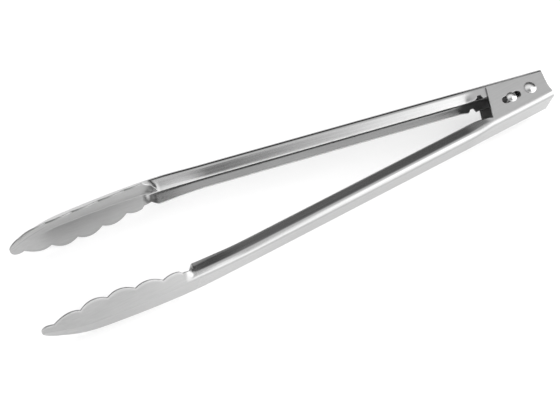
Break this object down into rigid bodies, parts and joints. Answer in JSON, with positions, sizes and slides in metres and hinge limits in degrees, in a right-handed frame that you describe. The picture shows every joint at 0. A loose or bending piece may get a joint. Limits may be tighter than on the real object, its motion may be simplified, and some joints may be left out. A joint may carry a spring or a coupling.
{
  "type": "spring loaded kitchen tongs",
  "caption": "Stainless steel utility tongs: channel arms on a rivet, scalloped blades, a leaf spring that holds them open and a sliding lock pin.",
  "frame": {"origin": "under the middle of the tongs' bounding box, on the plane that they lie on", "axes": "+X from the blades to the pivot end, +Z along the pivot rivet, and +Y towards the inner arm"},
  "size_m": [0.306, 0.062, 0.0382],
  "materials": {
    "arm_steel": "stainless sheet, satin on the flats and blades, polished along the folds",
    "rivet_steel": "polished domed heads",
    "spring_steel": "plain spring steel strip"
  },
  "bodies": {
    "outer": {"outer_arm": "arm_steel", "pivot_rivet": "rivet_steel", "leaf_spring": "spring_steel"},
    "inner": {"inner_arm": "arm_steel"},
    "pin": {"lock_pin": "rivet_steel"}
  },
  "joints": [
    {"name": "arm_hinge", "type": "hinge", "parent": "outer", "child": "inner", "pos_m": [0.14086, 0, 0.01908], "axis": [0, 0, 1], "range_deg": [0, 8.8], "stiffness_Nm_per_rad": 1.2, "springref_deg": -7.16, "deforming": ["leaf_spring"]},
    {"name": "lock_slide", "type": "slide", "parent": "outer", "child": "pin", "axis": [0.9954, 0.0954, 0], "range_m": [-0.0039, 0.0039]}
  ]
}
